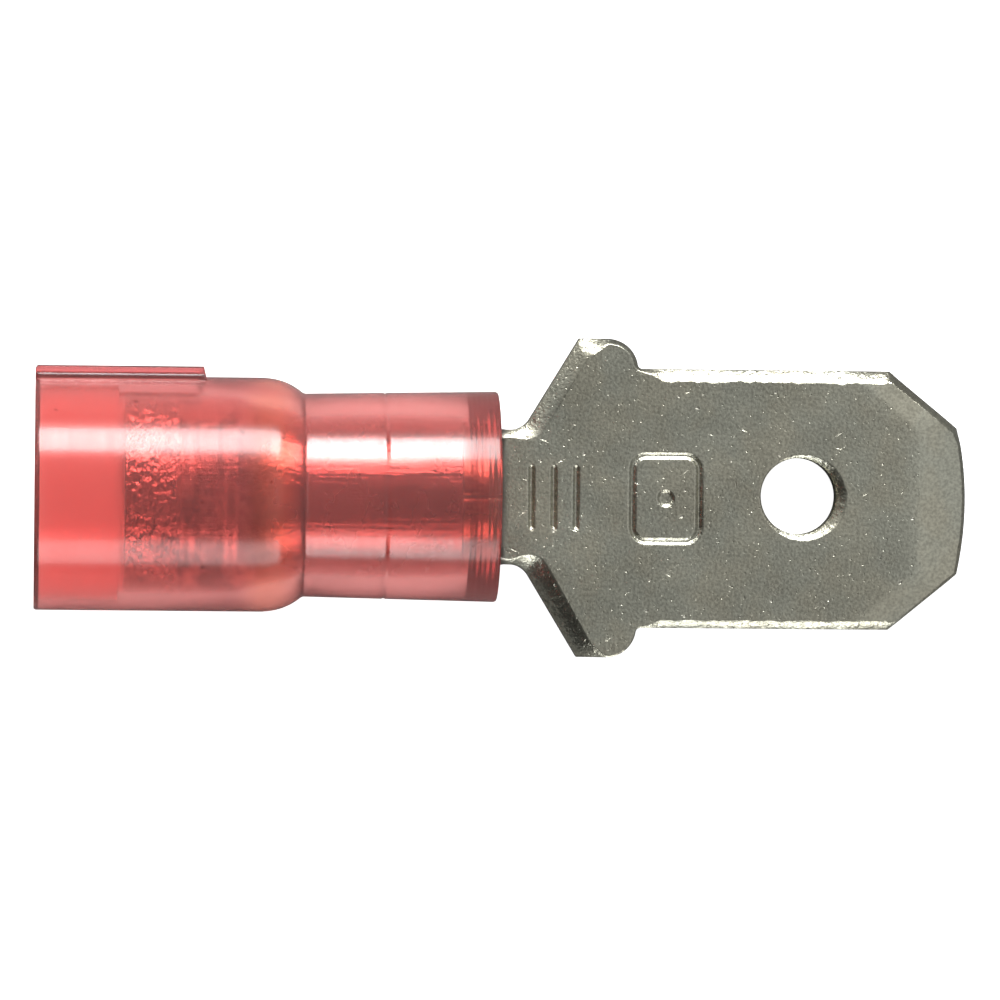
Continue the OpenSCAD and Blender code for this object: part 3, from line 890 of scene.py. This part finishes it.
def case_ring(x, radius):
    """One ring of the outer face, with the rib's two sides, their flow lines and its top."""
    share_up = rib_at(x)
    edge = math.asin(rib_w / 2 / wide_r)
    half = radius * math.sin(edge)
    foot = radius * math.cos(edge)
    ring = []
    for k in range(case_sides):
        turn = edge + (2 * math.pi - 2 * edge) * k / (case_sides - 1)
        ring.append((x, radius * math.cos(turn), radius * math.sin(turn)))
    side_points = [(share, half - tuck * share_up - share * rib_flow[-1][1] * (1 - share_up))
                   for share, tuck in rib_flow]
    top_half = side_points[-1][1]
    section = [(share, -z) for share, z in side_points]
    section += [(1, -top_half + top_half * 2 * k / rib_steps) for k in range(1, rib_steps)]
    section += side_points[::-1]
    for share, z in section:
        bare = math.sqrt(radius ** 2 - z ** 2)
        high = foot + (radius + rib_h - foot) * share
        ring.append((x, bare + max(0, high - bare) * share_up, z))
    return ring


# Stations along the housing, closer at its ends, at the rib's end, over the round shoulder
# and at the line that the mould left.
stations = [0.0, 0.02, 0.05, 0.12] + [0.12 + 0.2 * i for i in range(1, 20)]
stations += [rib_len - rib_slant, rib_len - rib_slant / 2, rib_len, rib_len + 0.06]
stations += [rib_len + 0.06 + (case_shoulder - rib_len - 0.06) * i / 5 for i in range(1, 6)]
stations += [case_shoulder + 1.2 * math.sin(math.radians(4 * i)) for i in range(1, 23)]
stations += [6.8 + i * 0.2 for i in range(9)]
stations += [ring_line + d for d in (-0.07, -0.05, -0.025, 0, 0.025, 0.05, 0.07)]
stations += [8.9 + i * 0.2 for i in range(12)] + [case_end - 0.05, case_end - 0.02, case_end]
case_points, case_faces = [], []
per_ring = case_sides + 2 * len(rib_flow) + rib_steps - 1
shells = []
for x in stations:
    tuck = (edge_round if x in (0, case_end) else
            edge_half_round if x in (0.02, case_end - 0.02) else 0)
    shells.append(case_ring(x, case_outer(x) - tuck))
inner = [(case_end - mouth_len * i / mouth_steps,
          mouth_r + (narrow_bore - mouth_r) * i / mouth_steps
          + sum(rise * (1 - math.cos(pace * i)) for rise, pace in mouth_ripples))
         for i in range(mouth_steps + 1)]
inner += [(8.5, narrow_bore), (cone_end, narrow_bore), (cone_start, wide_bore),
          (entry_end, wide_bore), (entry_end, entry_bore), (entry_lead, entry_bore),
          (0, entry_bore + entry_lead)]
for x, r in inner:
    shells.append([(x, r * y / math.hypot(y, z), r * z / math.hypot(y, z))
                   for _, y, z in shells[0]])
for ring in shells:
    case_points += ring
for i in range(len(shells)):
    a, b = i * per_ring, (i + 1) % len(shells) * per_ring
    for k in range(per_ring):
        n = (k + 1) % per_ring
        case_faces.append((a + k, a + n, b + n, b + k))
housing = new_piece("nylon_housing", case_points, case_faces)
housing.data.set_sharp_from_angle(angle=math.radians(35))

painted_glow_x = 5.7
tool_step_x = 6.3
narrow_x = 6.5
line_height = 0.012

nylon = new_material("red nylon")
tree = nylon.node_tree
swirl = use_group(tree, waves, {"Along": 0.35, "Across": 0.7, "Detail": 3.0})
lines = use_group(tree, waves, {"Along": 7.0, "Across": 0.5, "Detail": 2.0})
specks = use_group(tree, nicks, {"Cells per mm": 1.3, "Share": 0.9, "Size": 0.1})
spot = put(tree, "TexCoord")
spot = put(tree, "SeparateXYZ", {0: spot.outputs["Object"]})
thick = put(tree, "MapRange", {0: spot.outputs[1], 1: (wide_r - 0.08) * mm,
                               2: (wide_r - 0.04) * mm, 3: 0.0, 4: 1.0})
tone = put(tree, "MixRGB", {"Fac": swirl[0], "Color1": (0.97, 0.31, 0.29, 1),
                            "Color2": (1.0, 0.37, 0.345, 1)})
# Painted light: round the sleeve's cone the nylon's tone turns a brighter orange. This is a
# painted glow standing in for the lamps' light seen through the nylon there.
painted_glow = put(tree, "Math", {0: spot.outputs[0], 1: painted_glow_x * mm}, operation="SUBTRACT")
painted_glow = put(tree, "Math", {0: painted_glow.outputs[0]}, operation="ABSOLUTE")
painted_glow = put(tree, "MapRange", {0: painted_glow.outputs[0], 1: 0.2 * mm, 2: 0.7 * mm, 3: 0.8, 4: 0.0})
tone = put(tree, "MixRGB", {"Fac": painted_glow.outputs[0], "Color1": tone.outputs[0],
                            "Color2": (1.0, 0.33, 0.25, 1)})
tone = put(tree, "MixRGB", {"Fac": thick.outputs[0], "Color1": tone.outputs[0],
                            "Color2": (0.62, 0.165, 0.165, 1)})
tone = put(tree, "MixRGB", {"Fac": specks[1], "Color1": tone.outputs[0],
                            "Color2": (0.35, 0.05, 0.04, 1)})

# The outer skin shines most on the narrow part, less on the wide one, and less again round
# the front rim, where the turned lines of the mould are coarsest.
rim = put(tree, "MapRange", {0: spot.outputs[0], 1: (sleeve_end - 0.1) * mm,
                             2: (sleeve_end + 0.3) * mm, 3: 0.0, 4: 1.0})
shine = put(tree, "MapRange", {0: spot.outputs[0], 1: case_shoulder * mm,
                               2: narrow_x * mm, 3: 0.6, 4: 1.0})
shine = put(tree, "Math", {0: rim.outputs[0], 1: -0.5, 2: shine.outputs[0]},
            operation="MULTIPLY_ADD")
streak = put(tree, "MapRange", {0: lines[0], 1: 0.3, 2: 0.7, 3: 0.8, 4: 1.0})
shine = put(tree, "Math", {0: shine.outputs[0], 1: streak.outputs[0]}, operation="MULTIPLY")
haze = put(tree, "MapRange", {0: swirl[0], 1: 0.3, 2: 0.7, 3: 0.15, 4: 0.19})
coarse = put(tree, "Math", {0: rim.outputs[0], 1: 5.0, 2: 1.0}, operation="MULTIPLY_ADD")
turned = put(tree, "Math", {0: spot.outputs[0], 1: tool_step_x * mm}, operation="SUBTRACT")
turned = put(tree, "Math", {0: turned.outputs[0]}, operation="ABSOLUTE")
turned = put(tree, "MapRange", {0: turned.outputs[0], 1: 0.3 * mm, 2: 0.6 * mm,
                                3: 4.0, 4: 1.0})
turned = put(tree, "Math", {0: turned.outputs[0], 1: coarse.outputs[0]},
             operation="MULTIPLY")
relief = put(tree, "Math", {0: lines[0], 1: turned.outputs[0]}, operation="MULTIPLY")
bump = put(tree, "Bump", {"Height": relief.outputs[0], "Distance": mm,
                          "Strength": line_height})
plastic = put(tree, "BsdfPrincipled", {
    "Base Color": tone.outputs[0], "Roughness": haze.outputs[0], "Normal": bump.outputs[0],
    "IOR": 1.53, "Transmission Weight": 0.9, "Specular IOR Level": 0.05,
    "Specular Tint": (0.1, 0.1, 0.1, 1),
    "Coat Weight": shine.outputs[0], "Coat Roughness": 0.21, "Coat IOR": 1.72})
finish_material(nylon, plastic.outputs[0])
housing.data.materials.append(nylon)
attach(housing, "root")
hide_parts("housing")
